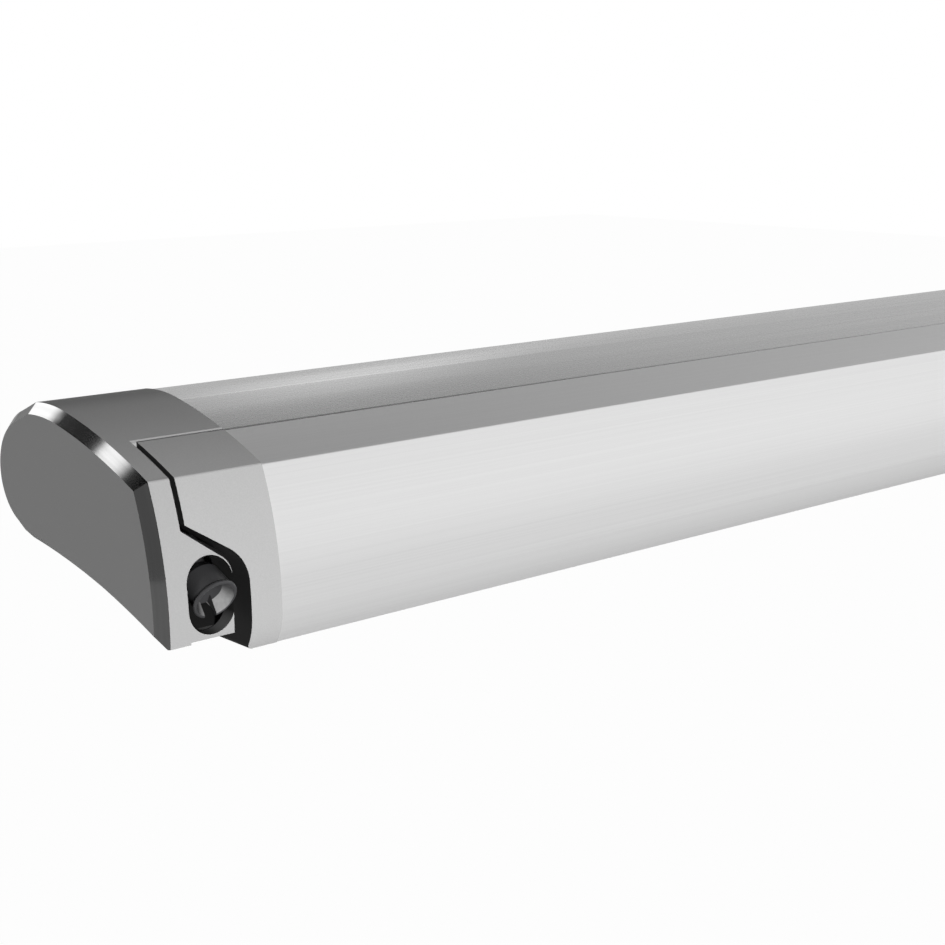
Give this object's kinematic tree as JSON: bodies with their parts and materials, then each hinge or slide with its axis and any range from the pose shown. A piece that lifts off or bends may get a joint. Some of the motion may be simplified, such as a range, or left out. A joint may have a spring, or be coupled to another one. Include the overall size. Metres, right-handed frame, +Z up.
{
  "type": "roll-out awning",
  "caption": "Cassette roll-out awning for a caravan or camper: crank-driven cloth roller in a long rounded case, spring folding arms, lead rail, telescopic legs.",
  "frame": {"origin": "centre of the middle fixing hole, on the lower face of the fixing land under the housing", "axes": "+X along the awning towards the end without the crank, -Y to the front, +Z up"},
  "size_m": [2.6, 0.196, 0.1363],
  "materials": {
    "case_alu": "satin anodised",
    "cap_grey": "satin moulded",
    "lead_alu": "satin anodised",
    "lead_cap": "satin moulded",
    "bell_plastic": "satin moulded",
    "dark_plastic": "matte",
    "steel": "zinc plated",
    "casting": "powder coated",
    "arm_alu": "satin anodised",
    "brass": "machined",
    "cloth": "coated weave",
    "rubber": "matte"
  },
  "bodies": {
    "cassette": {"housing": "case_alu", "left_end_cap": "cap_grey", "right_end_cap": "cap_grey", "left_end_plate": "steel", "right_end_plate": "steel", "gearbox_case": "dark_plastic", "roller_bushes": "dark_plastic", "left_shoulder_bracket": "casting", "right_shoulder_bracket": "casting", "shoulder_pins": "steel", "lip_seal": "rubber", "plate_screws": "steel", "cap_screws": "steel", "bracket_bolts": "steel"},
    "roller": {"roller_tube": "steel", "roller_drive_plug": "dark_plastic", "roller_idle_plug": "dark_plastic", "cloth_roll": "cloth", "worm_wheel": "brass"},
    "crank": {"crank_bell": "bell_plastic", "crank_shaft": "steel"},
    "lead_rail": {"lead_rail": "lead_alu", "left_lead_cap": "lead_cap", "right_lead_cap": "lead_cap", "left_wrist_bracket": "casting", "right_wrist_bracket": "casting", "wrist_pins": "steel", "cloth_bead": "cloth", "leg_pads": "rubber", "leg_pins": "steel"},
    "cloth_tail": {"cloth": "cloth"},
    "left_upper_arm": {"left_upper_arm": "arm_alu", "left_shoulder_knuckle": "casting", "left_elbow_fork": "casting", "left_arm_spring": "steel", "left_elbow_pin": "steel"},
    "left_forearm": {"left_forearm": "arm_alu", "left_elbow_tongue": "casting", "left_wrist_knuckle": "casting"},
    "left_leg": {"left_leg_tube": "arm_alu", "left_leg_eye": "dark_plastic", "left_leg_collar": "dark_plastic"},
    "left_leg_lever": {"left_leg_lever": "dark_plastic"},
    "left_leg_inner": {"left_leg_inner": "arm_alu"},
    "left_leg_foot": {"left_leg_foot": "dark_plastic"},
    "right_upper_arm": {"right_upper_arm": "arm_alu", "right_shoulder_knuckle": "casting", "right_elbow_fork": "casting", "right_arm_spring": "steel", "right_elbow_pin": "steel"},
    "right_forearm": {"right_forearm": "arm_alu", "right_elbow_tongue": "casting", "right_wrist_knuckle": "casting"},
    "right_leg": {"right_leg_tube": "arm_alu", "right_leg_eye": "dark_plastic", "right_leg_collar": "dark_plastic"},
    "right_leg_lever": {"right_leg_lever": "dark_plastic"},
    "right_leg_inner": {"right_leg_inner": "arm_alu"},
    "right_leg_foot": {"right_leg_foot": "dark_plastic"}
  },
  "joints": [
    {"name": "left_shoulder", "type": "hinge", "parent": "cassette", "child": "left_upper_arm", "pos_m": [-1.15, -0.028, 0.036], "axis": [0, 0, -1], "range_deg": [0, 75]},
    {"name": "left_elbow", "type": "hinge", "parent": "left_upper_arm", "child": "left_forearm", "pos_m": [-0.08, -0.044, 0.036], "axis": [0, 0, 1], "range_deg": [0, 150]},
    {"name": "left_wrist", "type": "hinge", "parent": "left_forearm", "child": "lead_rail", "pos_m": [-1.15, -0.06, 0.036], "axis": [0, 0, -1], "range_deg": [0, 75]},
    {"name": "right_shoulder", "type": "hinge", "parent": "cassette", "child": "right_upper_arm", "pos_m": [1.15, -0.028, 0.036], "axis": [0, 0, 1], "range_deg": [0, 75]},
    {"name": "right_elbow", "type": "hinge", "parent": "right_upper_arm", "child": "right_forearm", "pos_m": [0.08, -0.044, 0.036], "axis": [0, 0, -1], "range_deg": [0, 150]},
    {"name": "cloth_feed", "type": "slide", "parent": "lead_rail", "child": "cloth_tail", "axis": [0, 1, 0], "range_m": [0, 2.0436]},
    {"name": "roller_spin", "type": "hinge", "parent": "cassette", "child": "roller", "pos_m": [0, 0.0365, 0.045], "axis": [1, 0, 0], "range_deg": [0, 4320]},
    {"name": "crank_spin", "type": "hinge", "parent": "cassette", "child": "crank", "pos_m": [-1.2645, -0.1135, -0.0025], "axis": [0, 0.866, 0.5], "range_deg": [0, 25920]},
    {"name": "left_leg_fold", "type": "hinge", "parent": "lead_rail", "child": "left_leg", "pos_m": [-1.19, -0.0885, -0.022], "axis": [0, 1, 0], "range_deg": [0, 90]},
    {"name": "left_leg_extend", "type": "slide", "parent": "left_leg", "child": "left_leg_inner", "axis": [1, 0, 0], "range_m": [0, 0.851]},
    {"name": "left_lever_flip", "type": "hinge", "parent": "left_leg", "child": "left_leg_lever", "pos_m": [-0.11, -0.0885, -0.0346], "axis": [0, -1, 0], "range_deg": [0, 100]},
    {"name": "left_foot_tilt", "type": "hinge", "parent": "left_leg_inner", "child": "left_leg_foot", "pos_m": [-0.05, -0.0885, -0.022], "axis": [0, 1, 0], "range_deg": [-20, 20]},
    {"name": "right_leg_fold", "type": "hinge", "parent": "lead_rail", "child": "right_leg", "pos_m": [1.19, -0.0885, -0.022], "axis": [0, -1, 0], "range_deg": [0, 90]},
    {"name": "right_leg_extend", "type": "slide", "parent": "right_leg", "child": "right_leg_inner", "axis": [-1, 0, 0], "range_m": [0, 0.851]},
    {"name": "right_lever_flip", "type": "hinge", "parent": "right_leg", "child": "right_leg_lever", "pos_m": [0.11, -0.0885, -0.0346], "axis": [0, 1, 0], "range_deg": [0, 100]},
    {"name": "right_foot_tilt", "type": "hinge", "parent": "right_leg_inner", "child": "right_leg_foot", "pos_m": [0.05, -0.0885, -0.022], "axis": [0, 1, 0], "range_deg": [-20, 20]}
  ],
  "couplings": [
    {"joint": "left_elbow", "follows": "left_shoulder", "ratio": 2},
    {"joint": "left_wrist", "follows": "left_shoulder", "ratio": 1},
    {"joint": "right_shoulder", "follows": "left_shoulder", "ratio": 1},
    {"joint": "right_elbow", "follows": "left_shoulder", "ratio": 2},
    {"joint": "cloth_feed", "follows": "left_shoulder", "m_per_rad": 1.561},
    {"joint": "roller_spin", "follows": "left_shoulder", "ratio": 57.5},
    {"joint": "crank_spin", "follows": "left_shoulder", "ratio": 345},
    {"joint": "left_leg_extend", "follows": "left_leg_fold", "m_per_rad": 0.5411},
    {"joint": "right_leg_extend", "follows": "right_leg_fold", "m_per_rad": 0.5411}
  ]
}
